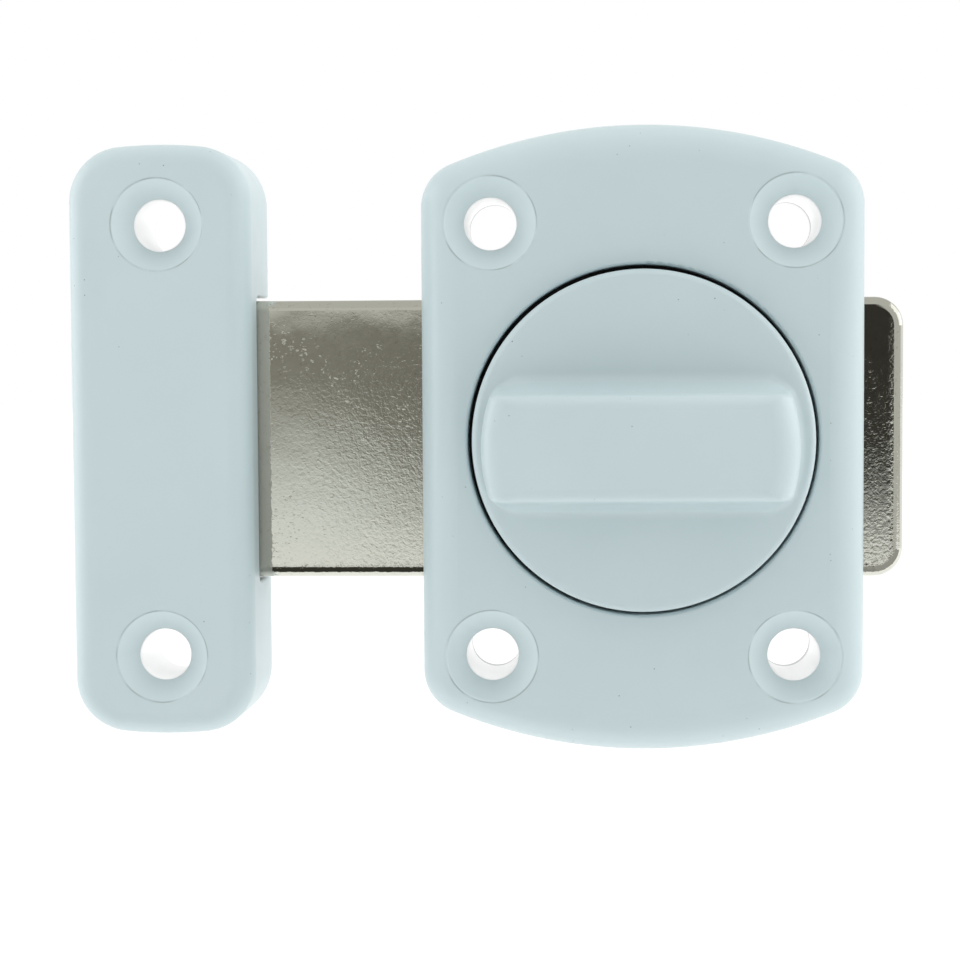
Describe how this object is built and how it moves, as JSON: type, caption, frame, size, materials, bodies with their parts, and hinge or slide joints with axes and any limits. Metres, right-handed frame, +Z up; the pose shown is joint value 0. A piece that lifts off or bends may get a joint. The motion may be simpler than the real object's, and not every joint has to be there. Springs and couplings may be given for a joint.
{
  "type": "door bolt",
  "caption": "Surface door bolt: a turn knob slides a flat bolt through a painted case into a matching screw-on keeper.",
  "frame": {"origin": "where the knob's axis meets the door face, which is the centre of the case's four screw holes", "axes": "+X away from the keeper, the way the bolt draws back; -Y out of the door towards the user; +Z up"},
  "size_m": [0.0808, 0.0226, 0.0602],
  "materials": {
    "paint": "pale blue-white semi-gloss paint on a zinc casting",
    "nickel": "grained nickel plating",
    "zinc": "zinc-plated steel",
    "dark_steel": "oiled dark steel"
  },
  "bodies": {
    "case": {"case": "paint", "back_plate": "zinc", "plate_rivets": "zinc", "wave_washer": "dark_steel", "keeper": "paint"},
    "knob": {"knob": "paint", "cam_plate": "dark_steel", "crank_pin": "zinc"},
    "bolt": {"bolt": "nickel"}
  },
  "joints": [
    {"name": "knob_turn", "type": "hinge", "parent": "case", "child": "knob", "pos_m": [0, 0, 0], "axis": [0, 1, 0], "range_deg": [0, 180]},
    {"name": "bolt_slide", "type": "slide", "parent": "case", "child": "bolt", "axis": [1, 0, 0], "range_m": [0, 0.018]}
  ],
  "couplings": [
    {"joint": "bolt_slide", "follows": "knob_turn", "m_per_rad": 0.0057295}
  ]
}
